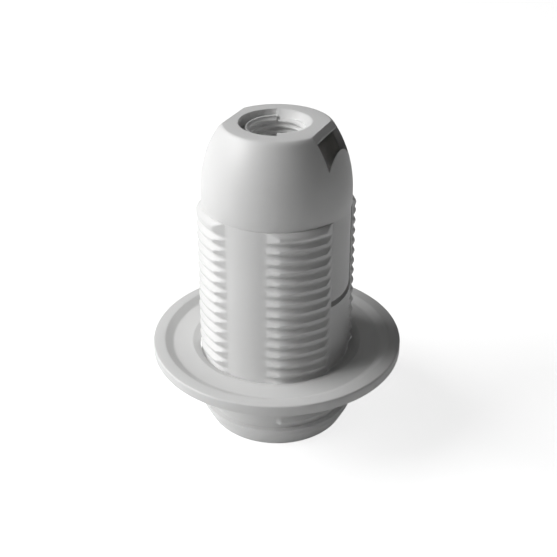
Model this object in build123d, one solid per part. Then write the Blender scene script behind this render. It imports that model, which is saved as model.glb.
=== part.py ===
from build123d import *
from math import ceil, radians, sin, sqrt, tan
import os

# Small screw lamp holder, three-piece thermoplastic type with a threaded skirt and a shade ring.
# Millimetres. Origin at the centre of the mouth rim, +Z up to the cable entry.
# The two snap arms lie on the X axis.

# Skirt, the lower shell
skirt_height = 42.5          # mouth rim to the joint with the cap
core_r = 13.1                # plain bands and thread root
skirt_wall = 1.8
mouth_step = 1.4             # how far the mouth rim lies inside the thread's crest
mouth_taper = 2.8            # height of the taper above the rim
foot_collar = 1.0            # height of the plain collar above the taper

# Outer thread, moulded in four sectors with plain bands between
pitch = 2.0
thread_depth = 0.9
crest_flat = 0.45
flank_angle = 30.0
thread_bury = 0.3            # depth of the ridge's foot inside the wall
thread_start_z = 5.35        # middle of the ridge where it starts
thread_start_angle = -66.0   # degrees from +X, anticlockwise from above
foot_end_angle = 360.0       # up to here, past the start, the ridge runs all the way round
sector_reach = 33.0          # half the angle swept for a length of ridge before it is cut off
sector_inset_x = 0.9         # the sectors end at planes this far inside the thread's root
sector_inset_y = 0.52
collar_height = 1.35         # plain collar that ends the thread
collar_round = 1.0

# Lamp tube inside the skirt
lamp_r = 7.0                 # bore for a 14 mm screw cap
lamp_tube_wall = 1.6
lamp_tube_bottom = 6.0
neck_r = 5.4                 # narrower recess round the centre contact
neck_depth = 2.0
web_depth = 14.5             # from the joint with the cap down to the web's underside
web = 1.6                    # thickness of the web that carries the contacts
tube_rib = 1.2
tube_rib_bottom = 18.0
rib_count = 4

# Snap joint between skirt and cap
window_depth = 16.2          # from the joint with the cap down
window_half = 4.65
arm_half = 4.3
arm_end_gap = 0.7
arm_recess = 0.2             # how far the arm lies below the plain bands
arm_thickness = 1.45
pad_thickness = 1.35         # backing pad behind each window, to the arm's inner face
pad_half = 5.4
pad_below_window = 1.8
pad_height = 15.0
catch_above_window = 1.9
catch_height = 3.0
catch_half = 2.6
barb_clearance = 0.2
barb_reach = 1.0
barb_tip = 0.6               # height of the barb's blunt tip
weld = 0.1                   # how far a part of one solid is sunk into the next

# Cap, the domed upper shell
cap_height = 14.3            # joint with the skirt to the top face
dome_straight = 2.5          # straight wall above the joint
dome_lean = 2.85             # how far the dome's curve draws in below its rounded top edge
cap_wall = 1.55
top_edge_width = 1.1
top_edge_round = 0.8
top_wall = 2.2
spigot_wall = 0.95
spigot_clearance = 0.12
spigot_end_gap = 0.05

# Release slot beside each snap arm
slot_wall = 1.5              # from the slot's outer side to the outside of the straight wall
slot_width = 2.3
slot_half = 4.9
bevel_width = 1.0            # sloping strip between the top face and the slot
bevel_drop = 1.2

# Cable entry, M10 x 1
entry_r = 4.5
entry_tube_wall = 1.9
entry_tube_length = 10.3
lead_in_r = 6.6
lead_in_depth = 1.5
channel_inner_r = 5.3
channel_outer_r = 6.5
channel_depth = 1.1
channel_start = 112.0        # degrees from +X, anticlockwise from above
channel_sweep = 150.0
lip_sweep = 182.0            # the lip runs on past the channel, and the lead-in has the rest
inner_lip_drop = 0.35
notch_width = 1.5
notch_depth = 0.9
notch_angles = (114.0, 294.0)
notch_inner_r = 4.0
notch_outer_r = 7.2

# Shade ring
ring_r = 22.6
ring_bore_clearance = 0.08
ring_bottom = 13.55
ring_height = 1.95
ring_floor = 1.05
rim_land = 2.1
rim_slope = 1.5
ring_corner = 0.3
bore_lead_width = 1.3        # shallow lead-in round the bore
bore_lead_drop = 0.25

# Contact carrier
carrier_clearance = 0.15
carrier_thickness = 3.0
tower_wall = 1.2
tower_height = 6.9
tower_reach = 8.2
barrier = 0.6

# Centre contact: brass bush, plunger and spring
bush_r = 2.4
bush_bore_r = 1.75
bush_top_wall = 0.6
bush_height = 8.0
bush_lip = 0.6
plunger_r = 1.3
plunger_shoulder = 1.4
plunger_reach = 1.8          # how far the tip stands out below the web
plunger_nose = 1.0           # height of the rounded tip
running_clearance = 0.06
spring_wire_r = 0.2
spring_coil_r = 1.3
spring_turns = 5.0
spring_wire_sides = 6
seat_gap = 0.05

# Brass strips and screw terminals
strip_thickness = 0.5
strip_width = 3.5
strip_eye = 0.6              # ring of brass round the bush
side_strip_tuck = 2.5        # how far the side contact reaches in under its terminal
terminal_y = 5.6
terminal_x_size = 6.0
terminal_y_size = 4.6
terminal_height = 7.0
terminal_chamfer = 0.4
wire_hole_r = 1.2
wire_hole_y = 4.8
wire_hole_floor = 1.0
screw_r = 1.5
screw_head_r = 2.4
screw_head = 1.5
screw_slot = 0.6
screw_slot_depth = 0.7
screw_rise = 0.4             # screw axis above the middle of the terminal
side_leg_thickness = 0.4
side_leg_y = 7.7
side_leg_bottom = 17.0
side_bulge_y = 7.3
side_bulge_z = 20.5
side_bulge_rise = 2.5        # from the bulge up to the straight leg
side_pocket_clearance = 0.15

# Worked out from the values above
overall_height = skirt_height + cap_height
skirt_inner_r = core_r - skirt_wall
crest_r = core_r + thread_depth
mouth_r = crest_r - mouth_step
thread_half_x = core_r - sector_inset_x
thread_half_y = core_r - sector_inset_y
collar_bottom = skirt_height - collar_height
window_bottom = skirt_height - window_depth
arm_outer_r = core_r - arm_recess
arm_inner_x = arm_outer_r - arm_thickness
arm_bottom = window_bottom + arm_end_gap
pad_inner_x = arm_inner_x - pad_thickness
catch_bottom = window_bottom + catch_above_window
web_bottom = skirt_height - web_depth
web_top = web_bottom + web
lamp_tube_top = web_bottom - neck_depth
tube_outer_r = lamp_r + lamp_tube_wall
dome_base = skirt_height + dome_straight
dome_top_r = core_r - dome_lean
top_flat_r = dome_top_r - top_edge_width
slot_outer_x = core_r - slot_wall
slot_inner_x = slot_outer_x - slot_width
bevel_inner_x = slot_inner_x - bevel_width
entry_tube_bottom = overall_height - entry_tube_length
dome_rise = overall_height - top_edge_round - dome_base
dome_arc_r = (dome_lean ** 2 + dome_rise ** 2) / (2 * dome_lean)
dome_centre_r = core_r - dome_arc_r
cap_inner_r = core_r - cap_wall
spigot_outer_r = skirt_inner_r - spigot_clearance
carrier_top = web_top + carrier_thickness
strip_top = carrier_top + strip_thickness
bush_bottom = web_bottom
bush_top = bush_bottom + bush_height
shoulder_bottom = bush_bottom + bush_lip + seat_gap
shoulder_top = shoulder_bottom + plunger_shoulder
spring_top = bush_top - bush_top_wall
far = 2 * overall_height     # larger than anything that is cut


def turned(*points):
    """Solid of revolution about Z from (radius, height) points."""
    return revolve(make_face(Plane.XZ * Polyline(*points, close=True)), Axis.Z)


def tube(outer_r, inner_r, bottom, top):
    """Plain tube between two heights."""
    return turned((inner_r, bottom), (outer_r, bottom), (outer_r, top), (inner_r, top))


def rod(radius, bottom, top):
    """Plain cylinder on the Z axis between two heights."""
    return Pos(0, 0, bottom) * extrude(Circle(radius), top - bottom)


def block(x0, x1, y0, y1, z0, z1):
    """Box given by its limits."""
    return Pos((x0 + x1) / 2, (y0 + y1) / 2, (z0 + z1) / 2) * Box(x1 - x0, y1 - y0, z1 - z0)


def arc_radius(height, arc_r):
    """Radius of the dome's curve at a height."""
    return dome_centre_r + sqrt(arc_r ** 2 - (height - dome_base) ** 2)


def sector(radius, start, sweep, bottom, top):
    """Wedge about the Z axis, from a start angle anticlockwise through a sweep."""
    arc = CenterArc((0, 0), radius, start, sweep)
    wedge = make_face(Curve() + [arc, Line((0, 0), arc @ 0), Line(arc @ 1, (0, 0))])
    return Pos(0, 0, bottom) * extrude(wedge, top - bottom)


def ridge_height(angle):
    """Height of the middle of the ridge, at an angle counted on from where the thread starts."""
    return thread_start_z + pitch * (angle - thread_start_angle) / 360


def ridge_length(start_angle, end_angle):
    """A length of the right-hand helical ridge between two angles."""
    half_crest = crest_flat / 2
    half_foot = half_crest + (thread_depth + thread_bury) * tan(radians(flank_angle))
    section = make_face(Polyline((-thread_bury, -half_foot), (thread_depth, -half_crest),
                                 (thread_depth, half_crest), (-thread_bury, half_foot), close=True))
    start = Plane((core_r, 0, 0), x_dir=(1, 0, 0), z_dir=(0, 1, 0))
    route = Helix(pitch, pitch * (end_angle - start_angle) / 360, core_r)
    ridge = sweep(start * section, path=route, is_frenet=True)
    return Pos(0, 0, ridge_height(start_angle)) * Rot(0, 0, start_angle) * ridge


def thread_ridges():
    """The outer thread: whole at the foot, then four short lengths to a turn, cut off at the sectors."""
    sectors = block(-thread_half_x, thread_half_x, -thread_half_y, thread_half_y, 0, skirt_height)
    ridges = [ridge_length(thread_start_angle, foot_end_angle)]
    for quadrant in range(4):
        middle = foot_end_angle + 45 + 90 * quadrant
        first = ridge_length(middle - sector_reach, middle + sector_reach) & sectors
        turns = ceil((collar_bottom - ridge_height(middle)) / pitch)
        ridges += [Pos(0, 0, turn * pitch) * first for turn in range(turns)]
    return ridges


def thread_collar():
    """Plain collar above the thread, in the same four sectors, with a rounded top edge."""
    inside = core_r - skirt_wall / 2
    flank = thread_depth * tan(radians(flank_angle))
    corner = collar_round * (1 - sin(radians(45)))
    outline = Curve() + [
        Line((inside, collar_bottom - flank), (core_r, collar_bottom - flank)),
        Line((core_r, collar_bottom - flank), (crest_r, collar_bottom)),
        Line((crest_r, collar_bottom), (crest_r, skirt_height - collar_round)),
        ThreePointArc((crest_r, skirt_height - collar_round), (crest_r - corner, skirt_height - corner),
                      (crest_r - collar_round, skirt_height)),
        Line((crest_r - collar_round, skirt_height), (inside, skirt_height)),
        Line((inside, skirt_height), (inside, collar_bottom - flank)),
    ]
    collar = revolve(make_face(Plane.XZ * outline), Axis.Z)
    return collar & block(-thread_half_x, thread_half_x, -thread_half_y, thread_half_y, 0, skirt_height)


def skirt_shell():
    """Outer wall with its mouth taper and foot collar."""
    collar_top = mouth_taper + foot_collar
    return turned(
        (skirt_inner_r, 0),
        (mouth_r, 0),
        (crest_r, mouth_taper),
        (crest_r, collar_top),
        (core_r, collar_top),
        (core_r, skirt_height),
        (skirt_inner_r, skirt_height),
    )


def lamp_tube():
    """Inner tube for the lamp, the neck above it and the web that joins it to the wall."""
    body = turned(
        (lamp_r, lamp_tube_bottom),
        (tube_outer_r, lamp_tube_bottom),
        (tube_outer_r, web_bottom),
        (skirt_inner_r + skirt_wall / 2, web_bottom),
        (skirt_inner_r + skirt_wall / 2, web_top),
        (bush_r + running_clearance, web_top),
        (bush_r + running_clearance, web_bottom),
        (neck_r, web_bottom),
        (neck_r, lamp_tube_top),
        (lamp_r, lamp_tube_top),
    )
    for i in range(rib_count):
        rib = block(tube_outer_r - tube_rib / 2, skirt_inner_r + tube_rib / 2, -tube_rib / 2, tube_rib / 2,
                    tube_rib_bottom, web_bottom + web / 2)
        body += Rot(0, 0, 45 + i * 360 / rib_count) * rib
    return body


def side_pocket():
    """Slot through tube wall and web in which the side contact's leg stands."""
    half = strip_width / 2 + side_pocket_clearance
    return block(-half, half, -side_leg_y - side_leg_thickness / 2 - side_pocket_clearance, -neck_r,
                 side_leg_bottom - side_pocket_clearance, carrier_top)


def make_barrel():
    """Skirt: outer wall, thread, lamp tube, windows and catch pads for the snap arms."""
    body = skirt_shell() + thread_ridges() + thread_collar() + lamp_tube()
    for side in (0, 180):
        turn = Rot(0, 0, side)
        body -= turn * block(arm_inner_x - barb_clearance / 2, far, -window_half, window_half,
                             window_bottom, overall_height)
        pad_bottom = window_bottom - pad_below_window
        pad = block(pad_inner_x, arm_inner_x - barb_clearance / 2, -pad_half, pad_half,
                    pad_bottom, pad_bottom + pad_height)
        catch = block(pad_inner_x - 1, far, -catch_half, catch_half, catch_bottom, catch_bottom + catch_height)
        body += turn * (pad & rod(skirt_inner_r + skirt_wall / 2, 0, overall_height))
        body -= turn * catch
    slot = side_pocket() & rod(tube_outer_r - lamp_tube_wall / 4, 0, overall_height)
    return body - slot


def dome_shell():
    """Domed wall of the cap, with a rounded top edge."""
    edge_z = overall_height - top_edge_round
    edge_r = dome_top_r
    mid_z = (dome_base + edge_z) / 2
    inner_arc_r = dome_arc_r - cap_wall
    ceiling = overall_height - top_wall
    ceiling_r = arc_radius(ceiling, inner_arc_r)
    inner_mid_z = (dome_base + ceiling) / 2
    corner = (top_flat_r + (edge_r - top_flat_r) * 0.66, edge_z + top_edge_round * 0.66)
    outline = Curve() + [
        Line((cap_inner_r, skirt_height), (core_r, skirt_height)),
        Line((core_r, skirt_height), (core_r, dome_base)),
        ThreePointArc((core_r, dome_base), (arc_radius(mid_z, dome_arc_r), mid_z), (edge_r, edge_z)),
        ThreePointArc((edge_r, edge_z), corner, (top_flat_r, overall_height)),
        Line((top_flat_r, overall_height), (entry_r, overall_height)),
        Line((entry_r, overall_height), (entry_r, ceiling)),
        Line((entry_r, ceiling), (ceiling_r, ceiling)),
        ThreePointArc((ceiling_r, ceiling), (arc_radius(inner_mid_z, inner_arc_r), inner_mid_z),
                      (cap_inner_r, dome_base)),
        Line((cap_inner_r, dome_base), (cap_inner_r, skirt_height)),
    ]
    return revolve(make_face(Plane.XZ * outline), Axis.Z)


def entry_cuts():
    """Lead-in, lip and channel round the cable entry, and its two small notches."""
    lead_in = turned(
        (0, overall_height - lead_in_depth),
        (entry_r, overall_height - lead_in_depth),
        (lead_in_r, overall_height),
        (0, overall_height),
    )
    wedge = sector(far, channel_start, channel_sweep, 0, overall_height + 1)
    lip_wedge = sector(far, channel_start, lip_sweep, 0, overall_height + 1)
    channel = tube(channel_outer_r, channel_inner_r, overall_height - channel_depth, overall_height)
    lip = rod(channel_inner_r, overall_height - inner_lip_drop, overall_height)
    cuts = (lead_in - lip_wedge) + (channel & wedge) + (lip & lip_wedge)
    for angle in notch_angles:
        cuts += Rot(0, 0, angle) * block(notch_inner_r, notch_outer_r, -notch_width / 2, notch_width / 2,
                                         overall_height - notch_depth, overall_height)
    return cuts


def snap_arm():
    """One snap arm on the +X side, with its inward barb."""
    arm = block(arm_inner_x, far, -arm_half, arm_half, arm_bottom, skirt_height + 1)
    arm = arm & rod(arm_outer_r, 0, overall_height)
    barb_top = catch_bottom + catch_height - barb_clearance
    barb_face = [
        (arm_inner_x + weld, barb_top),
        (arm_inner_x - barb_reach, barb_top),
        (arm_inner_x - barb_reach, barb_top - barb_tip),
        (arm_inner_x, catch_bottom + barb_clearance),
        (arm_inner_x + weld, catch_bottom + barb_clearance),
    ]
    half = catch_half - barb_clearance
    barb = extrude(make_face(Plane.XZ * Polyline(*barb_face, close=True)), half, both=True)
    return arm + barb


def make_dome_cap():
    """Cap: dome, cable entry tube, clamping spigot, snap arms and release slots."""
    body = dome_shell()
    body += tube(entry_r + entry_tube_wall, entry_r, entry_tube_bottom, overall_height - top_wall / 2)
    spigot_bottom = carrier_top + spigot_end_gap
    spigot = tube(spigot_outer_r, spigot_outer_r - spigot_wall, spigot_bottom, dome_base)
    spigot += tube(cap_inner_r + cap_wall / 2, spigot_outer_r - spigot_wall, skirt_height, dome_base)
    gap = block(0, far, -pad_half - spigot_clearance, pad_half + spigot_clearance, 0, skirt_height)
    spigot -= gap + Rot(0, 0, 180) * gap
    body += spigot
    bevel = [
        (bevel_inner_x, overall_height),
        (slot_inner_x, overall_height - bevel_drop),
        (slot_inner_x, skirt_height + 1),
        (slot_outer_x, skirt_height + 1),
        (slot_outer_x, overall_height + 1),
        (bevel_inner_x, overall_height + 1),
    ]
    release = extrude(make_face(Plane.XZ * Polyline(*bevel, close=True)), slot_half, both=True)
    for side in (0, 180):
        turn = Rot(0, 0, side)
        body += turn * snap_arm()
        body -= turn * release
    return body - entry_cuts()


def make_shade_ring():
    """Flat dished ring that runs on the outer thread."""
    bore_r = crest_r + ring_bore_clearance
    floor_z = ring_bottom + ring_floor
    top_z = ring_bottom + ring_height
    land_r = ring_r - rim_land
    return turned(
        (bore_r, ring_bottom),
        (ring_r - ring_corner, ring_bottom),
        (ring_r, ring_bottom + ring_corner),
        (ring_r, top_z - ring_corner),
        (ring_r - ring_corner, top_z),
        (land_r, top_z),
        (land_r - rim_slope, floor_z),
        (bore_r + bore_lead_width, floor_z),
        (bore_r, floor_z - bore_lead_drop),
    )


def make_contact_carrier():
    """Insulating insert: disc on the web, with walled towers for the two terminals."""
    disc_r = skirt_inner_r - carrier_clearance
    body = tube(disc_r, bush_r + running_clearance, web_top, carrier_top)
    inner = terminal_x_size / 2 + carrier_clearance
    outer = inner + tower_wall
    tower_top = carrier_top + tower_height
    for x0, x1 in ((-outer, -inner), (inner, outer)):
        body += block(x0, x1, -tower_reach, tower_reach, carrier_top, tower_top)
    near = terminal_y - terminal_y_size / 2 - carrier_clearance
    for y0, y1 in ((-near, -near + barrier), (near - barrier, near)):
        body += block(-inner, inner, y0, y1, strip_top + carrier_clearance, tower_top)
    notch = block(pad_inner_x - carrier_clearance, far, -pad_half - carrier_clearance,
                  pad_half + carrier_clearance, 0, overall_height)
    body -= notch + Rot(0, 0, 180) * notch
    half = strip_width / 2 + side_pocket_clearance
    leg = side_leg_thickness / 2 + side_pocket_clearance
    return body - block(-half, half, -side_leg_y - leg, -side_leg_y + leg, 0, carrier_top)


def make_plunger_bush():
    """Brass cup that guides the plunger and backs its spring."""
    lip_r = plunger_r + running_clearance
    return turned(
        (lip_r, bush_bottom),
        (bush_r, bush_bottom),
        (bush_r, bush_top),
        (0, bush_top),
        (0, spring_top),
        (bush_bore_r, spring_top),
        (bush_bore_r, bush_bottom + bush_lip),
        (lip_r, bush_bottom + bush_lip),
    )


def make_centre_plunger():
    """Brass centre contact with a rounded tip and a shoulder inside the bush."""
    tip = bush_bottom - plunger_reach
    shoulder_r = bush_bore_r - running_clearance
    outline = Curve() + [
        Line((0, shoulder_top), (0, tip)),
        ThreePointArc((0, tip), (plunger_r * sin(radians(45)), tip + 0.3 * plunger_nose),
                      (plunger_r, tip + plunger_nose)),
        Line((plunger_r, tip + plunger_nose), (plunger_r, shoulder_bottom)),
        Line((plunger_r, shoulder_bottom), (shoulder_r, shoulder_bottom)),
        Line((shoulder_r, shoulder_bottom), (shoulder_r, shoulder_top)),
        Line((shoulder_r, shoulder_top), (0, shoulder_top)),
    ]
    return revolve(make_face(Plane.XZ * outline), Axis.Z)


def make_plunger_spring():
    """Small coil spring between the plunger and the top of the bush."""
    low = shoulder_top + spring_wire_r + seat_gap
    high = spring_top - spring_wire_r - seat_gap
    route = Helix((high - low) / spring_turns, high - low, spring_coil_r)
    section = Plane(route @ 0, z_dir=route % 0) * RegularPolygon(spring_wire_r, spring_wire_sides)
    wire = sweep(section, path=route, is_frenet=True)
    return Pos(0, 0, low) * wire


def make_centre_strip():
    """Brass strip from the bush to the live terminal."""
    reach = terminal_y + terminal_y_size / 2
    flat = Circle(bush_r + strip_eye) + Pos(0, reach / 2) * Rectangle(strip_width, reach)
    flat -= Circle(bush_r + running_clearance)
    return Pos(0, 0, carrier_top) * extrude(flat, strip_thickness)


def make_side_contact():
    """Brass strip under the neutral terminal, with a leg that springs against the lamp's shell."""
    half = side_leg_thickness / 2
    route = [
        (-side_leg_y, carrier_top),
        (-side_leg_y, side_bulge_z + side_bulge_rise),
        (-side_bulge_y, side_bulge_z),
        (-side_leg_y, side_leg_bottom),
    ]
    outer = [(y - half, z) for y, z in route]
    inner = [(y + half, z) for y, z in reversed(route)]
    leg = extrude(make_face(Plane.YZ * Polyline(*outer, *inner, close=True)), strip_width / 2, both=True)
    near = terminal_y + terminal_y_size / 2 - side_strip_tuck
    plate = block(-strip_width / 2, strip_width / 2, -side_leg_y - half, -near, carrier_top, strip_top)
    return leg + plate


def make_terminal(side):
    """Brass cage with a wire hole from above and a tapped hole for its clamping screw."""
    half_x, half_y = terminal_x_size / 2, terminal_y_size / 2
    middle = side * terminal_y
    cage = block(-half_x, half_x, middle - half_y, middle + half_y, strip_top, strip_top + terminal_height)
    cage = chamfer(cage.edges().filter_by(Axis.Z), terminal_chamfer)
    cage -= Pos(0, side * wire_hole_y) * rod(wire_hole_r, strip_top + wire_hole_floor, far)
    return cage - screw_hole(side)


def screw_axis_z():
    """Height of the terminal screws."""
    return strip_top + terminal_height / 2 + screw_rise


def screw_hole(side):
    """Hole for a terminal screw, from the wire hole outwards."""
    start = Plane((0, side * wire_hole_y, screw_axis_z()), z_dir=(0, side, 0))
    return extrude(start * Circle(screw_r + running_clearance), far)


def make_terminal_screw(side):
    """Slotted cheese-head screw that clamps the wire."""
    seat = terminal_y + terminal_y_size / 2 + seat_gap
    start = Plane((0, side * (wire_hole_y + wire_hole_r), screw_axis_z()), z_dir=(0, side, 0))
    head = Plane((0, side * seat, screw_axis_z()), z_dir=(0, side, 0))
    shank = extrude(start * Circle(screw_r), seat - wire_hole_y - wire_hole_r + screw_head / 2)
    body = shank + extrude(head * Circle(screw_head_r), screw_head)
    end = Plane((0, side * (seat + screw_head - screw_slot_depth), screw_axis_z()), z_dir=(0, side, 0))
    return body - extrude(end * Rectangle(far, screw_slot), far)


pieces = {
    "barrel": make_barrel(),
    "dome_cap": make_dome_cap(),
    "shade_ring": make_shade_ring(),
    "contact_carrier": make_contact_carrier(),
    "plunger_bush": make_plunger_bush(),
    "centre_plunger": make_centre_plunger(),
    "plunger_spring": make_plunger_spring(),
    "centre_strip": make_centre_strip(),
    "side_contact": make_side_contact(),
    "live_terminal": make_terminal(1),
    "neutral_terminal": make_terminal(-1),
    "live_screw": make_terminal_screw(1),
    "neutral_screw": make_terminal_screw(-1),
}

os.makedirs("parts", exist_ok=True)
for name, shape in pieces.items():
    export_step(shape, f"parts/{name}.step")
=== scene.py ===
from math import acos, asin, cos, degrees, pi, radians, sin

import bmesh
import bpy
import numpy as np
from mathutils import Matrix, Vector


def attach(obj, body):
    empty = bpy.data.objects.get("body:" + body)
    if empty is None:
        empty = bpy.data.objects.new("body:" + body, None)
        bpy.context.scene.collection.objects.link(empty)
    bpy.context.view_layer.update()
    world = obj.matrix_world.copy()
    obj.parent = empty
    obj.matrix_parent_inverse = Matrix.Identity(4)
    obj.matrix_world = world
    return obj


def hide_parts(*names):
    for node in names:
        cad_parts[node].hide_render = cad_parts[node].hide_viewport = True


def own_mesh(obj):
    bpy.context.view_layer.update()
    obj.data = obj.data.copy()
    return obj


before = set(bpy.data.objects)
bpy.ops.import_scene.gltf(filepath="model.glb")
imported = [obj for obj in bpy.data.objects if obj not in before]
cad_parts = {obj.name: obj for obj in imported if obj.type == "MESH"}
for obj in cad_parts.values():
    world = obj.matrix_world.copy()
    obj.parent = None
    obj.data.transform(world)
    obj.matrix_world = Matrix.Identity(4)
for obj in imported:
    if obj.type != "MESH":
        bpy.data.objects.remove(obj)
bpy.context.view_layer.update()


# Threaded skirt
# The lower shell is one injection moulding in white thermoplastic. Four slides form its outer thread, so
# it stands in four sectors with plain bands between, and only the first turn at the foot runs right round.
MM = 0.001               # lengths are written in millimetres, and a mesh is in metres
HOLDER = "holder"
edge = 0.1               # the small bevel on inner edges
overlap = 1.0            # how far a solid runs on into the next, or a cutter past a face
past = 10.0              # how far a cutter runs out into the open
skirt_height = 42.5
core_r = 13.1
thread_depth = 0.9
crest_r = core_r + thread_depth
thread_pitch = 2.0
thread_start_z = 5.35
thread_start = -66.0
foot_turn = 426.0
start_ramp = 3.0
thread_low_z = 4.3
ridge_rows = 21
ridge_top_z = 41.5
sector_x = 12.2
sector_y = 12.58
collar_low_z = 40.5
mouth_r = 12.62
foot_r = 14.0
taper_top_z = 2.8
foot_top_z = 3.8
inner_wall_r = 11.3
web_top = 29.6
web_bottom = 28.0
web_fillet = 0.3
bush_hole_r = 2.46
neck_r = 5.4
lamp_r = 7.0
lamp_pitch = 2.82
lamp_thread_depth = 0.72
lamp_thread_fade = 1.2
lamp_rows = 10
lamp_steps = 8
tube_r = 8.6
tube_foot_z = 6.0
tube_top_z = 26.0
rib_x = (7.8, 12.2)
rib_half = 0.6
rib_z = (18.0, 28.8)
pad_x = (10.1, 12.0)
pad_half = 5.4
pad_z = (24.5, 39.5)
window_x = 11.35
window_half = 4.65
window_foot_z = 26.3
catch_x = 9.0
catch_half = 2.6
catch_z = (28.2, 31.2)
pocket_half = 1.9
pocket_y = (-8.05, -5.0)
pocket_foot_z = 16.85


def column_angles(start, quadrant_keys, quadrant_counts, extra=()):
    """Angles in degrees, one turn from a start angle. A quadrant is divided between its key angles into the
    given counts and mirrored into the other three, so that the edges of the form fall on columns."""
    spans = zip(quadrant_keys[:-1], quadrant_keys[1:], quadrant_counts)
    quadrant = np.concatenate([np.linspace(a, b, n, endpoint=False) for a, b, n in spans] + [[90.0]])
    angles = np.concatenate([quadrant, 180 - quadrant, 180 + quadrant, 360 - quadrant, extra])
    return np.unique(np.round((angles - start) % 360, 4)) + start


def plain_rows(profile, angles):
    """Rows of radius and height that are the same at every angle, from (radius, height) points."""
    points = np.array(profile, float)
    flat = np.ones(len(angles))
    return points[:, :1] * flat, points[:, 1:] * flat, 0


def screw_rows(radius_at, offsets, turns, pitch, middle_z, low_z, high_z, angles, downwards=False):
    """Rows that climb with a right-hand thread: height is the offset, plus whole turns of the pitch, plus
    pitch times the angle turned, clipped between two heights. A row meets another after one turn."""
    steps = (np.arange(turns)[:, None] * pitch + np.array(offsets)[None, :]).ravel()
    climb = pitch * (angles - angles[0]) / 360
    height = np.clip(middle_z + steps[:, None] + climb[None, :], low_z, high_z)
    radius = radius_at(angles[None, :] * np.ones_like(height), height)
    if downwards:
        return radius[::-1], height[::-1], -len(offsets)
    return radius, height, len(offsets)


def turned_surface(name, blocks, angles):
    """Closed surface round the Z axis, stitched from blocks of rows. The point in a row and column is at
    (radius cos angle, radius sin angle, height), and a block's rows may meet shifted after one turn."""
    turn = np.radians(angles)
    points, faces, ends, base = [], [], [], 0
    for radius, height, shift in blocks:
        rows, columns = radius.shape
        points.append(np.stack([radius * np.cos(turn), radius * np.sin(turn), height], -1).reshape(-1, 3))
        index = base + np.arange(rows * columns).reshape(rows, columns)
        last = index[max(-shift, 0):rows - max(shift, 0), -1]
        first = index[max(shift, 0):rows - max(-shift, 0), 0]
        strip = np.stack([index[:-1, :-1], index[:-1, 1:], index[1:, 1:], index[1:, :-1]], -1)
        faces.append(strip.reshape(-1, 4))
        faces.append(np.stack([last[:-1], first[:-1], first[1:], last[1:]], -1))
        ends.append((index[0], index[-1]))
        base += rows * columns
    for i, (_, low) in enumerate(ends):
        high = ends[(i + 1) % len(ends)][0]
        faces.append(np.stack([low, np.roll(low, -1), np.roll(high, -1), high], -1))
    return mesh_object(name, np.concatenate(points), np.concatenate(faces).tolist())


def merge_doubles(mesh, turn_outwards):
    """Merges a mesh's double points and, where asked, turns its faces outwards."""
    work = bmesh.new()
    work.from_mesh(mesh)
    bmesh.ops.remove_doubles(work, verts=work.verts, dist=0.001 * MM)
    if turn_outwards:
        bmesh.ops.recalc_face_normals(work, faces=work.faces)
    work.to_mesh(mesh)
    work.free()


def place_mesh(name, mesh):
    """Object at the origin with the given mesh, smooth but for its clear edges."""
    piece = bpy.data.objects.new(name, mesh)
    bpy.context.collection.objects.link(piece)
    shade(piece)
    return piece


def shade(piece):
    """Smooth shading, kept sharp where two faces meet at a clear edge."""
    piece.data.shade_smooth()
    piece.data.set_sharp_from_angle(angle=radians(38))


def mesh_object(name, points, faces):
    """Closed mesh from points in millimetres and lists of corners, with its normals outwards."""
    mesh = bpy.data.meshes.new(name)
    mesh.from_pydata((np.asarray(points) * MM).tolist(), [], faces)
    merge_doubles(mesh, turn_outwards=True)
    return place_mesh(name, mesh)


def extruded(name, outline, direction, low, high):
    """Prism: an outline of points in the plane across one axis, carried along it from low to high."""
    outline = np.array(outline, float)
    count = len(outline)
    across = [axis for axis in range(3) if axis != direction]
    points = np.zeros((2, count, 3))
    points[:, :, across] = outline
    points[:, :, direction] = np.array([low, high])[:, None]
    index = np.arange(2 * count).reshape(2, count)
    sides = np.stack([index[0], np.roll(index[0], -1), np.roll(index[1], -1), index[1]], -1).tolist()
    return mesh_object(name, points.reshape(-1, 3), sides + [index[0].tolist(), index[1].tolist()])


def box(name, x, y, z):
    """Block between its limits along each axis."""
    outline = [(x[0], y[0]), (x[1], y[0]), (x[1], y[1]), (x[0], y[1])]
    return extruded(name, outline, 2, *z)


def turned_copy(source, angle):
    """Copy of an object's mesh, turned round the Z axis by an angle in degrees."""
    copy = source.copy()
    copy.data = source.data.copy()
    bpy.context.collection.objects.link(copy)
    points = np.empty(len(copy.data.vertices) * 3)
    copy.data.vertices.foreach_get("co", points)
    points = points.reshape(-1, 3)
    turn = np.exp(1j * radians(angle)) * (points[:, 0] + 1j * points[:, 1])
    points[:, 0], points[:, 1] = turn.real, turn.imag
    copy.data.vertices.foreach_set("co", points.ravel())
    return copy


def combine(piece, operation, *others):
    """Union of a piece with other solids, or their difference, made a plain mesh. The others are removed."""
    for other in others:
        step = piece.modifiers.new(operation, 'BOOLEAN')
        step.object = other
        step.operation = operation
        step.solver = 'EXACT'
    graph = bpy.context.evaluated_depsgraph_get()
    mesh = bpy.data.meshes.new_from_object(piece.evaluated_get(graph))
    piece.modifiers.clear()
    piece.data = mesh
    for other in others:
        bpy.data.objects.remove(other)
    shade(piece)


def smooth_least(a, b, soft=0.05):
    """The lesser of two lengths, with a rounded corner where they cross, and never below nothing."""
    return np.maximum((a + b - np.sqrt((a - b) ** 2 + soft ** 2)) / 2 + soft / 10, 0)


# A ridge's rows above and below its middle, and the share of the thread's depth at a distance from it.
ridge_offsets = (-1.0, -0.78, -0.66, -0.34, -0.22, 0.0, 0.22, 0.34, 0.66, 0.78)
ridge_distance = (0, 0.12, 0.22, 0.34, 0.66, 0.78, 1.0)
ridge_share = (1, 1, 0.965, 0.8, 0.14, 0.02, 0)

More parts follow.
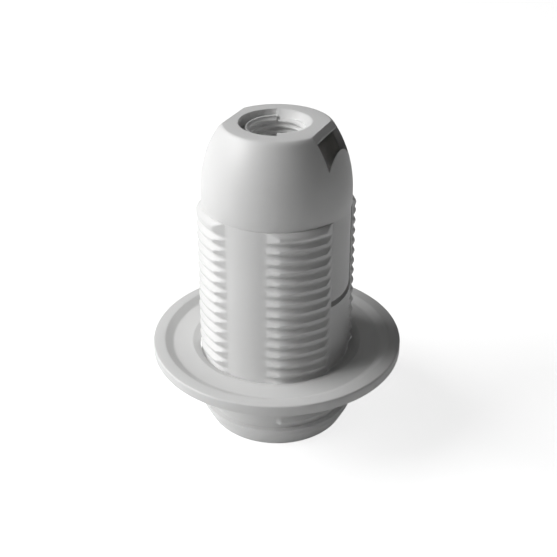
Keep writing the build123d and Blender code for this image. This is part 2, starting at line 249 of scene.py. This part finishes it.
# The collar's heights, and its share of the thread's depth at each.
collar_z = (collar_low_z, 40.6, 40.72, 40.86, 41.0, 41.15, 41.32, ridge_top_z, 41.75, 42.0, 42.2, 42.35,
            skirt_height)
collar_share = (0, 0.12, 0.35, 0.6, 0.78, 0.9, 0.97, 1, 0.94, 0.77, 0.57, 0.38, 0.16)


def skirt_radius(angle, height):
    """Outside of the skirt: the core, plus the greater of two: a trapezoid ridge on a helix, ramped up at
    its start, and the collar that slopes in to the cap. Both stop at the sectors' flats, except for the
    ridge's first turn at the foot."""
    turned = angle - thread_start
    turns = (height - thread_start_z) / thread_pitch - turned / 360
    whole = np.round(turns)
    run = turned + 360 * whole
    ridge = thread_depth * np.interp(np.abs(turns - whole) * thread_pitch, ridge_distance, ridge_share)
    ridge = ridge * np.clip(run / start_ramp, 0, 1) * (height < ridge_top_z)
    collar = thread_depth * np.interp(height, collar_z, collar_share)
    turn = np.radians(angle)
    room = np.minimum(sector_x / np.maximum(np.abs(np.cos(turn)), 0.01),
                      sector_y / np.maximum(np.abs(np.sin(turn)), 0.01)) - core_r
    foot = np.clip((foot_turn - run) / start_ramp, 0, 1) * 2 * thread_depth
    return core_r + smooth_least(np.maximum(ridge, collar), np.maximum(room, foot))


def lamp_bore_radius(angle, height):
    """Rounded lamp thread: the bore's radius falls by a cosine wave along a right-hand helix, and the wave
    fades out at both ends."""
    wave = 0.5 - 0.5 * np.cos(2 * pi * (height / lamp_pitch - angle / 360))
    fade_in = np.clip((height - tube_foot_z) / lamp_thread_fade, 0, 1)
    fade_out = np.clip((tube_top_z - height) / lamp_thread_fade, 0, 1)
    return lamp_r - lamp_thread_depth * wave * fade_in * fade_out


# The angles at which the sectors' flats meet the core and the thread's crest.
x_core = degrees(acos(sector_x / core_r))
x_crest = degrees(acos(sector_x / crest_r))
y_core = degrees(asin(sector_y / core_r))
y_crest = degrees(asin(sector_y / crest_r))
beside = 0.7             # degrees between an edge and the column that keeps it crisp
skirt_keys = (0, x_core - beside, x_core, x_crest, x_crest + beside, y_crest - beside, y_crest, y_core, 90)
skirt_columns = (6, 1, 7, 1, 27, 1, 8, 5)
ramp_angles = (thread_start + start_ramp / 2, thread_start + start_ramp)
skirt_angles = column_angles(thread_start, skirt_keys, skirt_columns, ramp_angles)
foot_profile = [
    (mouth_r - 0.27, 0), (mouth_r - 0.1, 0.02), (mouth_r, 0.14), (foot_r - 0.08, taper_top_z - 0.12),
    (foot_r - 0.02, taper_top_z), (foot_r, taper_top_z + 0.15), (foot_r, foot_top_z - 0.14),
    (foot_r - 0.04, foot_top_z - 0.04), (foot_r - 0.14, foot_top_z), (core_r + edge, foot_top_z),
    (core_r + 0.02, foot_top_z + 0.04), (core_r, foot_top_z + 0.12), (core_r, thread_low_z),
]
collar_heights = np.array(collar_z)[:, None] * np.ones(len(skirt_angles))
collar_radii = skirt_radius(skirt_angles[None, :] * np.ones_like(collar_heights), collar_heights)
inside_top = [
    (core_r - edge, skirt_height), (inner_wall_r + edge, skirt_height), (inner_wall_r, skirt_height - edge),
    (inner_wall_r, web_top), (bush_hole_r, web_top), (bush_hole_r, web_bottom),
    (neck_r - edge, web_bottom), (neck_r, web_bottom - edge), (neck_r, tube_top_z + edge),
    (neck_r + edge, tube_top_z), (lamp_r, tube_top_z),
]
inside_foot = [
    (lamp_r + 0.2, tube_foot_z), (tube_r - 0.2, tube_foot_z), (tube_r - 0.05, tube_foot_z + 0.05),
    (tube_r, tube_foot_z + 0.2), (tube_r, web_bottom - web_fillet), (tube_r + web_fillet, web_bottom),
    (inner_wall_r - web_fillet, web_bottom), (inner_wall_r, web_bottom - web_fillet),
    (inner_wall_r, 0.15), (inner_wall_r + 0.15, 0),
]
skirt = turned_surface("threaded_skirt", [
    plain_rows(foot_profile, skirt_angles),
    screw_rows(skirt_radius, ridge_offsets, ridge_rows, thread_pitch, thread_start_z - 2 * thread_pitch,
               thread_low_z, collar_low_z, skirt_angles),
    (collar_radii, collar_heights, 0),
    plain_rows(inside_top, skirt_angles),
    screw_rows(lamp_bore_radius, np.arange(lamp_steps) * lamp_pitch / lamp_steps, lamp_rows, lamp_pitch,
               tube_foot_z - 1.5 * lamp_pitch, tube_foot_z + 0.2, tube_top_z - 0.05, skirt_angles,
               downwards=True),
    plain_rows(inside_foot, skirt_angles),
], skirt_angles)
rib = box("rib", rib_x, (-rib_half, rib_half), rib_z)
ribs = [turned_copy(rib, 45 + 90 * i) for i in range(4)]
bpy.data.objects.remove(rib)
pad = box("pad", pad_x, (-pad_half, pad_half), pad_z)
combine(skirt, 'UNION', pad, turned_copy(pad, 180), *ribs)
window = box("window", (window_x, window_x + past), (-window_half, window_half),
             (window_foot_z, skirt_height + past))
catch = box("catch", (catch_x, window_x + overlap), (-catch_half, catch_half), catch_z)
pocket = box("pocket", (-pocket_half, pocket_half), pocket_y, (pocket_foot_z, web_top + overlap))
combine(skirt, 'DIFFERENCE', window, turned_copy(window, 180), catch, turned_copy(catch, 180), pocket)


def surface_skin():
    """Node group for a made surface. Slow noise mixes the colour with a second one and shifts the roughness,
    and fine noise is the height of the grain."""
    group = bpy.data.node_groups.new("surface_skin", 'ShaderNodeTree')
    sockets = group.interface.new_socket
    for label in ("Colour", "Second Colour"):
        sockets(label, in_out='INPUT', socket_type='NodeSocketColor')
    for label in ("Roughness", "Spread", "Patch Scale", "Grain Scale"):
        sockets(label, in_out='INPUT', socket_type='NodeSocketFloat')
    sockets("Colour", in_out='OUTPUT', socket_type='NodeSocketColor')
    for label in ("Roughness", "Height"):
        sockets(label, in_out='OUTPUT', socket_type='NodeSocketFloat')
    node, link = group.nodes.new, group.links.new
    given, out = node("NodeGroupInput"), node("NodeGroupOutput")
    place = node("ShaderNodeTexCoord")
    patches, grain = node("ShaderNodeTexNoise"), node("ShaderNodeTexNoise")
    patches.inputs["Detail"].default_value = 3
    grain.inputs["Detail"].default_value = 2
    for noise, label in ((patches, "Patch Scale"), (grain, "Grain Scale")):
        link(place.outputs["Object"], noise.inputs["Vector"])
        link(given.outputs[label], noise.inputs["Scale"])
    blend = node("ShaderNodeMix")
    blend.data_type = 'RGBA'
    link(patches.outputs["Fac"], blend.inputs["Factor"])
    link(given.outputs["Colour"], blend.inputs["A"])
    link(given.outputs["Second Colour"], blend.inputs["B"])
    shift = node("ShaderNodeMath")
    shift.operation = 'MULTIPLY_ADD'
    link(patches.outputs["Fac"], shift.inputs[0])
    link(given.outputs["Spread"], shift.inputs[1])
    link(given.outputs["Roughness"], shift.inputs[2])
    link(blend.outputs["Result"], out.inputs["Colour"])
    link(shift.outputs["Value"], out.inputs["Roughness"])
    link(grain.outputs["Fac"], out.inputs["Height"])
    return group


skin = surface_skin()


def finish(name, colour, second, roughness, spread, patch_scale, grain_scale, grain_depth, metallic=0.0):
    """Material whose colour, roughness and grain come from the skin group. Scales are in waves a metre and
    the grain's depth is in millimetres."""
    material = bpy.data.materials.new(name)
    material.use_nodes = True
    tree = material.node_tree
    shader = tree.nodes["Principled BSDF"]
    shader.inputs["Metallic"].default_value = metallic
    cover = tree.nodes.new("ShaderNodeGroup")
    cover.node_tree = skin
    cover.inputs["Colour"].default_value = (*colour, 1)
    cover.inputs["Second Colour"].default_value = (*second, 1)
    for label, value in (("Roughness", roughness), ("Spread", spread), ("Patch Scale", patch_scale),
                         ("Grain Scale", grain_scale)):
        cover.inputs[label].default_value = value
    bump = tree.nodes.new("ShaderNodeBump")
    bump.inputs["Distance"].default_value = grain_depth * MM
    tree.links.new(cover.outputs["Colour"], shader.inputs["Base Color"])
    tree.links.new(cover.outputs["Roughness"], shader.inputs["Roughness"])
    tree.links.new(cover.outputs["Height"], bump.inputs["Height"])
    tree.links.new(bump.outputs["Normal"], shader.inputs["Normal"])
    return material


def take_place(piece, node, body, material):
    """Gives a piece its finish, and lets it ride on a body in place of a part of the frame."""
    piece.data.materials.clear()
    piece.data.materials.append(material)
    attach(piece, body)
    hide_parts(node)


white_moulding = finish("white_moulding", (0.81, 0.81, 0.805), (0.785, 0.785, 0.78), roughness=0.36,
                        spread=0.12, patch_scale=90, grain_scale=2600, grain_depth=0.012)
take_place(skirt, "barrel", HOLDER, white_moulding)


# Cap
# The upper shell, moulded in the same white thermoplastic, with the threaded cable entry, a release slot
# above each snap arm, and the arms that hook into the skirt's windows.
overall_height = 56.8
dome_base = 45.0
dome_lean = 3.15
dome_rise = 11.0
dome_wall = 1.2
top_flat_r = 8.95
ceiling_z = 54.6
spigot_r = (10.23, 11.18)
spigot_foot_z = 32.65
gap_x = 6.0
gap_half = 5.52
entry_r = 4.5
entry_thread_depth = 0.5
entry_root_r = entry_r + entry_thread_depth
entry_pitch = 1.0
entry_flank = (0.08, 0.36)
entry_fade = 0.35
entry_rows = 13
entry_tube_r = 6.4
entry_foot_z = 46.5
entry_chamfer = 0.06
lead_in_r = (5.15, 6.7)
lead_in_slope = 0.75
channel_r = (5.35, 6.5)
channel_depth = 1.7
lip_span = (114.0, 294.0)
lip_drop = (0.65, 1.15)
edge_turn = 0.6
edge_width = 0.08
arm_r = 12.9
arm_half = 4.3
arm_x = 11.45
arm_foot_z = 27.15
barb_x = 10.45
barb_half = 2.4
barb_z = (28.4, 30.4, 31.0)
slot_x = (8.95, 11.3)
slot_half = 4.5
bevel_x = 8.1
bevel_depth = 0.96
relief_x = 7.5
relief_depth = 1.2

dome_arc_r = (dome_lean ** 2 + dome_rise ** 2) / (2 * dome_lean)


def dome_profile(arc_r, low_z, high_z, count):
    """Points of an arc about the dome's centre, from one height to another."""
    height = np.linspace(low_z, high_z, count)
    return np.stack([core_r - dome_arc_r + np.sqrt(arc_r ** 2 - (height - dome_base) ** 2), height], -1)


def curve_between(start, corner, end, count):
    """Quadratic curve that leaves the start and reaches the end along the lines through the corner."""
    t = np.linspace(0, 1, count)[:, None]
    return (1 - t) ** 2 * np.array(start) + 2 * t * (1 - t) * np.array(corner) + t ** 2 * np.array(end)


def between(value, low, high, soft):
    """One between two limits and nothing outside them, with a short ramp at each."""
    rise = np.clip((value - low) / soft + 0.5, 0, 1)
    return rise * np.clip((high - value) / soft + 0.5, 0, 1)


def entry_height(angle, radius):
    """Height of the top face round the cable entry: flat, less, over one half turn, a lead-in cone whose
    outer radius grows with the angle, and over the other a lip that sinks with the angle, with a channel
    behind it."""
    lip_side = between(angle, *lip_span, edge_turn)
    cone_r = np.interp((angle - lip_span[1]) % 360, [0, 180], lead_in_r)
    cone = lead_in_slope * np.clip(cone_r - radius, 0, None)
    lip = np.interp(angle, lip_span, lip_drop) * between(radius, 0, channel_r[0], edge_width)
    channel = channel_depth * between(radius, *channel_r, edge_width)
    return overall_height - (1 - lip_side) * cone - lip_side * np.maximum(lip, channel)


def entry_bore_radius(angle, height):
    """Bore of the entry: the thread's root, less a ridge with sloping flanks on a right-hand helix that
    fades in below the mouth."""
    phase = np.abs((height / entry_pitch - angle / 360 + 0.5) % 1 - 0.5) * entry_pitch
    ridge = np.interp(phase, entry_flank, (1, 0))
    mouth = entry_height(angle, entry_root_r)
    return entry_r + entry_thread_depth * (1 - ridge * np.clip((mouth - height) / entry_fade, 0, 1))


cap_columns = 32
entry_offsets = (-0.5, -entry_flank[1], -0.2, -entry_flank[0], entry_flank[0], 0.2, entry_flank[1])
step_angles = np.array(lip_span)
half_edge = np.array([0.5, -0.5]) * edge_width
step_sides = np.concatenate([step_angles - edge_turn / 2, step_angles + edge_turn / 2])
cap_angles = column_angles(0, (0, 90), (cap_columns,), step_sides)
dome_end = dome_profile(dome_arc_r, dome_base, dome_base + dome_rise, 2)[-1]
dome_slope = dome_rise / (dome_end[0] - core_r + dome_arc_r)
corner_r = dome_end[0] - (overall_height - dome_end[1]) * dome_slope
outside = np.concatenate([
    [(core_r - edge, skirt_height), (core_r - 0.03, skirt_height + 0.03), (core_r, skirt_height + 0.12)],
    dome_profile(dome_arc_r, dome_base, dome_base + dome_rise, 16),
    curve_between(dome_end, (corner_r, overall_height), (top_flat_r, overall_height), 8)[1:],
])
face_r = np.concatenate([
    (7.2, 6.9, lead_in_r[1]), channel_r[1] + half_edge, np.linspace(6.3, 5.7, 4), channel_r[0] + half_edge,
    (5.3, lead_in_r[0], entry_root_r + entry_chamfer, entry_root_r),
])
face_radii = face_r[:, None] * np.ones(len(cap_angles))
face_heights = entry_height(cap_angles[None, :] * np.ones_like(face_radii), face_radii)
face_heights[-1] -= entry_chamfer
inside = np.concatenate([
    [(entry_root_r + edge, entry_foot_z), (entry_tube_r - edge, entry_foot_z),
     (entry_tube_r, entry_foot_z + edge), (entry_tube_r, ceiling_z)],
    dome_profile(dome_arc_r - dome_wall, dome_base, ceiling_z, 12)[::-1],
    [(spigot_r[0], dome_base), (spigot_r[0], spigot_foot_z), (spigot_r[1], spigot_foot_z),
     (spigot_r[1], skirt_height)],
])
cap = turned_surface("domed_cap", [
    plain_rows(outside, cap_angles),
    (face_radii, face_heights, 0),
    screw_rows(entry_bore_radius, entry_offsets, entry_rows, entry_pitch, entry_foot_z - 1.5 * entry_pitch,
               entry_foot_z + edge, face_heights[-1], cap_angles, downwards=True),
    plain_rows(inside, cap_angles),
], cap_angles)

arm_turn = asin(arm_half / arm_r)
arc = np.linspace(-arm_turn, arm_turn, 21)
arm_outline = np.concatenate([np.stack([arm_r * np.cos(arc), arm_r * np.sin(arc)], -1),
                              [(arm_x, arm_half), (arm_x, -arm_half)]])
gap = box("gap", (gap_x, spigot_r[1] + edge), (-gap_half, gap_half),
          (spigot_foot_z - overlap, skirt_height))
combine(cap, 'DIFFERENCE', gap, turned_copy(gap, 180))
arm = extruded("arm", arm_outline, 2, arm_foot_z, skirt_height + overlap)
barb_outline = [(arm_x + edge, barb_z[2]), (barb_x, barb_z[2]), (barb_x, barb_z[1]), (arm_x, barb_z[0]),
                (arm_x + edge, barb_z[0])]
barb = extruded("barb", barb_outline, 1, -barb_half, barb_half)
combine(cap, 'UNION', arm, turned_copy(arm, 180), barb, turned_copy(barb, 180))
release_outline = [
    (bevel_x, overall_height), (slot_x[0], overall_height - bevel_depth),
    (slot_x[0], overall_height - relief_depth), (relief_x, overall_height - relief_depth),
    (relief_x, skirt_height + overlap), (slot_x[1], skirt_height + overlap),
    (slot_x[1], overall_height + overlap), (bevel_x, overall_height + overlap),
]
release = extruded("release", release_outline, 1, -slot_half, slot_half)
combine(cap, 'DIFFERENCE', release, turned_copy(release, 180))
take_place(cap, "dome_cap", HOLDER, white_moulding)


# Shade ring
# A flat dished ring of the same thermoplastic, screwed up the skirt to clamp a lampshade's collar. Its
# raised rim bears on the shade, and a shallow lead-in runs round its bore. Where one looks in beside the
# skirt's flat, a lip in the bore stands for the ring's own thread.
ring_r = 22.6
ring_bore_r = 14.08
ring_z = (13.55, 15.5)
ring_floor_z = 14.6
ring_step = 2.5
rim_r = (19.0, 20.5)
lead_in_edge_r = 15.45
lead_in_foot_z = 13.98
lip_turn = (-34.0, 34.0)
lip_edge_z = 13.63
lip_depth = 0.94
lip_foot_share = 0.9
lip_clearance = 0.06


def rounded_outline(corners, count=4):
    """Closed outline with each corner (radius, height, rounding) replaced by a short quadratic curve."""
    points = np.array(corners, float)
    spots, rounding = points[:, :2], points[:, 2:]
    before = np.roll(spots, 1, axis=0) - spots
    after = np.roll(spots, -1, axis=0) - spots
    starts = spots + before / np.linalg.norm(before, axis=1, keepdims=True) * rounding
    ends = spots + after / np.linalg.norm(after, axis=1, keepdims=True) * rounding
    return np.concatenate([curve_between(a, b, c, count + 1) for a, b, c in zip(starts, spots, ends)])


def lip_reach(angle, radius, height):
    """How far the bore's wall leans in: up to the lip's depth, but no nearer to the skirt's flat than the
    clearance, most at the lip's edge and nothing at the foot of the lead-in."""
    flat_r = sector_x / np.maximum(np.cos(np.radians(angle)), 0.5) + lip_clearance
    reach = np.clip(ring_bore_r - flat_r, 0, lip_depth) * between(angle, *lip_turn, ring_step)
    lean = np.interp(height, (ring_z[0], lip_edge_z, lead_in_foot_z - 0.03), (lip_foot_share, 1, 0))
    return reach * lean * (radius < ring_bore_r + 0.05)


ring_angles = np.arange(-180, 180, ring_step)
ring_profile = rounded_outline([
    (ring_bore_r, ring_z[0], 0.04), (ring_r, ring_z[0], 0.3), (ring_r, ring_z[1], 0.3),
    (rim_r[1], ring_z[1], 0.25), (rim_r[0], ring_floor_z, 0.3), (lead_in_edge_r, ring_floor_z, 0.15),
    (ring_bore_r, lead_in_foot_z, 0.05), (ring_bore_r, lip_edge_z, 0.03),
])
ring_radii, ring_heights, _ = plain_rows(ring_profile, ring_angles)
ring_radii = ring_radii - lip_reach(ring_angles, ring_radii, ring_heights)
ring = turned_surface("shade_collar_ring", [(ring_radii, ring_heights, 0)], ring_angles)
take_place(ring, "shade_ring", "shade_ring", white_moulding)


# Contact carrier
# The insulating insert on the skirt's inner web, with a tower round each terminal. It is moulded in a
# harder, off-white plastic that stands the lamp's heat, and the cap's spigot holds it down.
def cover_part(name, material):
    """Gives a part of the frame its finish."""
    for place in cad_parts[name].material_slots:
        place.material = material


carrier_moulding = finish("carrier_moulding", (0.71, 0.70, 0.66), (0.66, 0.65, 0.61), roughness=0.48,
                          spread=0.14, patch_scale=220, grain_scale=3200, grain_depth=0.02)
cover_part("contact_carrier", carrier_moulding)


# Brass contacts
# The live side runs from the sprung centre contact in its turned bush, along a strip, to the live terminal.
# The neutral side is a stamped strip whose leg touches the lamp's shell. All of it is unpolished brass.
contact_brass = finish("contact_brass", (0.80, 0.63, 0.33), (0.66, 0.49, 0.24), roughness=0.24, spread=0.2,
                       patch_scale=420, grain_scale=5200, grain_depth=0.004, metallic=1.0)
for name in ("plunger_bush", "centre_plunger", "centre_strip", "side_contact", "live_terminal",
             "neutral_terminal"):
    cover_part(name, contact_brass)


spring_wire = finish("spring_wire", (0.60, 0.60, 0.61), (0.50, 0.49, 0.48), roughness=0.22, spread=0.16,
                     patch_scale=600, grain_scale=6000, grain_depth=0.003, metallic=1.0)
coil_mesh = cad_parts["plunger_spring"].data.copy()
merge_doubles(coil_mesh, turn_outwards=False)
coil = place_mesh("contact_spring", coil_mesh)
take_place(coil, "plunger_spring", HOLDER, spring_wire)
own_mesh(coil)


# Terminal screws
# Two slotted cheese-head screws of zinc-plated steel. Each is turned into the side of its brass terminal
# and clamps the end of a wire in it.
zinc_plate = finish("zinc_plate", (0.74, 0.75, 0.76), (0.62, 0.62, 0.60), roughness=0.26, spread=0.18,
                    patch_scale=500, grain_scale=4800, grain_depth=0.003, metallic=1.0)
for name in ("live_screw", "neutral_screw"):
    cover_part(name, zinc_plate)


# Camera
# Stands to the right of the front and above the holder, where the photo was taken from. A small vertical
# shift keeps the upright edges nearly parallel, as they are there.
azimuth = radians(24.0)
eye_distance = 0.153183
eye_height = 0.113406
pitch = 0.429
photo_width = 557
photo_middle = 278.5
axis_pixel = 276.753
focal_pixels = 974.644
sensor_width = 36
rise_shift = -0.15

camera = bpy.data.objects.new("camera", bpy.data.cameras.new("camera"))
bpy.context.collection.objects.link(camera)
camera.location = (eye_distance * sin(azimuth), -eye_distance * cos(azimuth), eye_height)
look = Vector((-sin(azimuth) * cos(pitch), cos(azimuth) * cos(pitch), -sin(pitch)))
camera.rotation_euler = look.to_track_quat('-Z', 'Y').to_euler()
camera.data.sensor_width = sensor_width
camera.data.lens = focal_pixels / photo_width * sensor_width
camera.data.shift_x = (photo_middle - axis_pixel) / photo_width
camera.data.shift_y = rise_shift
bpy.context.scene.camera = camera


# Studio lamps
# Round soft lamps, all at one distance. Three stand on the left and give most of the light, and three weak
# ones fill the shadows from the front, the back and the right.
lamp_distance = 0.6
lamp_aim = Vector((0, 0, 0.03))


def soft_lamp(name, bearing, elevation, size, watts):
    """Round area lamp aimed at the object, at a bearing in degrees to the right of the camera."""
    light = bpy.data.lights.new(name, 'AREA')
    light.shape = 'DISK'
    light.size = size
    light.energy = watts
    lamp = bpy.data.objects.new(name, light)
    bpy.context.collection.objects.link(lamp)
    turn = azimuth + radians(bearing - 90)
    rise = radians(elevation)
    toward = Vector((cos(turn) * cos(rise), sin(turn) * cos(rise), sin(rise)))
    lamp.location = lamp_aim + toward * lamp_distance
    lamp.rotation_euler = (-toward).to_track_quat('-Z', 'Y').to_euler()


soft_lamp("key", bearing=-80, elevation=36, size=0.3, watts=1.7)
soft_lamp("side", bearing=-110, elevation=40, size=0.3, watts=1.4)
soft_lamp("low_side", bearing=-70, elevation=20, size=0.3, watts=0.8)
soft_lamp("front_fill", bearing=0, elevation=20, size=0.7, watts=0.1)
soft_lamp("back_fill", bearing=180, elevation=30, size=0.7, watts=0.12)
soft_lamp("right_fill", bearing=110, elevation=14, size=0.5, watts=0.18)


# Surround
# The plain white background of the studio. The camera sees it at full strength, also through glass, glossy
# surfaces show it fainter, and apart from that it adds no light to the object.
gloss_share = 0.3


def seen_rays(tree, path):
    """One for the camera's rays and for those that pass through glass, a share for rays off a glossy
    surface, and nothing for the light that falls on the object."""
    gloss = tree.nodes.new("ShaderNodeMath")
    gloss.operation = 'MULTIPLY'
    gloss.inputs[1].default_value = gloss_share
    direct = tree.nodes.new("ShaderNodeMath")
    direct.operation = 'MAXIMUM'
    seen = tree.nodes.new("ShaderNodeMath")
    seen.operation = 'MAXIMUM'
    tree.links.new(path.outputs["Is Glossy Ray"], gloss.inputs[0])
    tree.links.new(path.outputs["Is Camera Ray"], direct.inputs[0])
    tree.links.new(path.outputs["Is Transmission Ray"], direct.inputs[1])
    tree.links.new(gloss.outputs["Value"], seen.inputs[0])
    tree.links.new(direct.outputs["Value"], seen.inputs[1])
    return seen


world = bpy.data.worlds.new("studio")
bpy.context.scene.world = world
world.use_nodes = True
tree = world.node_tree
background = tree.nodes["Background"]
background.inputs["Color"].default_value = (1, 1, 1, 1)
seen = seen_rays(tree, tree.nodes.new("ShaderNodeLightPath"))
tree.links.new(seen.outputs["Value"], background.inputs["Strength"])


# Floor
# A wide sheet of matt pale board that the holder stands on. Where the camera sees it, it glows up to white
# and keeps a faint shadow. Light that bounces off it meets plain pale board.
floor_size = 4
board_colour = (0.8, 0.8, 0.8, 1)
seen_colour = (0.55, 0.55, 0.55, 1)
floor_roughness = 0.9
floor_glow = 0.8

bpy.ops.mesh.primitive_plane_add(size=floor_size, location=(0, 0, 0))
floor = bpy.context.object
floor.name = "floor"
floor_paint = bpy.data.materials.new("floor_paint")
floor_paint.use_nodes = True
tree = floor_paint.node_tree
shader = tree.nodes["Principled BSDF"]
shader.inputs["Roughness"].default_value = floor_roughness
shader.inputs["Emission Color"].default_value = (1, 1, 1, 1)
path = tree.nodes.new("ShaderNodeLightPath")
mix = tree.nodes.new("ShaderNodeMix")
mix.data_type = 'RGBA'
mix.inputs["A"].default_value = board_colour
mix.inputs["B"].default_value = seen_colour
glow = tree.nodes.new("ShaderNodeMath")
glow.operation = 'MULTIPLY'
glow.inputs[1].default_value = floor_glow
seen = seen_rays(tree, path)
tree.links.new(path.outputs["Is Camera Ray"], mix.inputs["Factor"])
tree.links.new(mix.outputs["Result"], shader.inputs["Base Color"])
tree.links.new(seen.outputs["Value"], glow.inputs[0])
tree.links.new(glow.outputs["Value"], shader.inputs["Emission Strength"])
floor.data.materials.append(floor_paint)
bpy.context.scene.view_settings.view_transform = 'Standard'
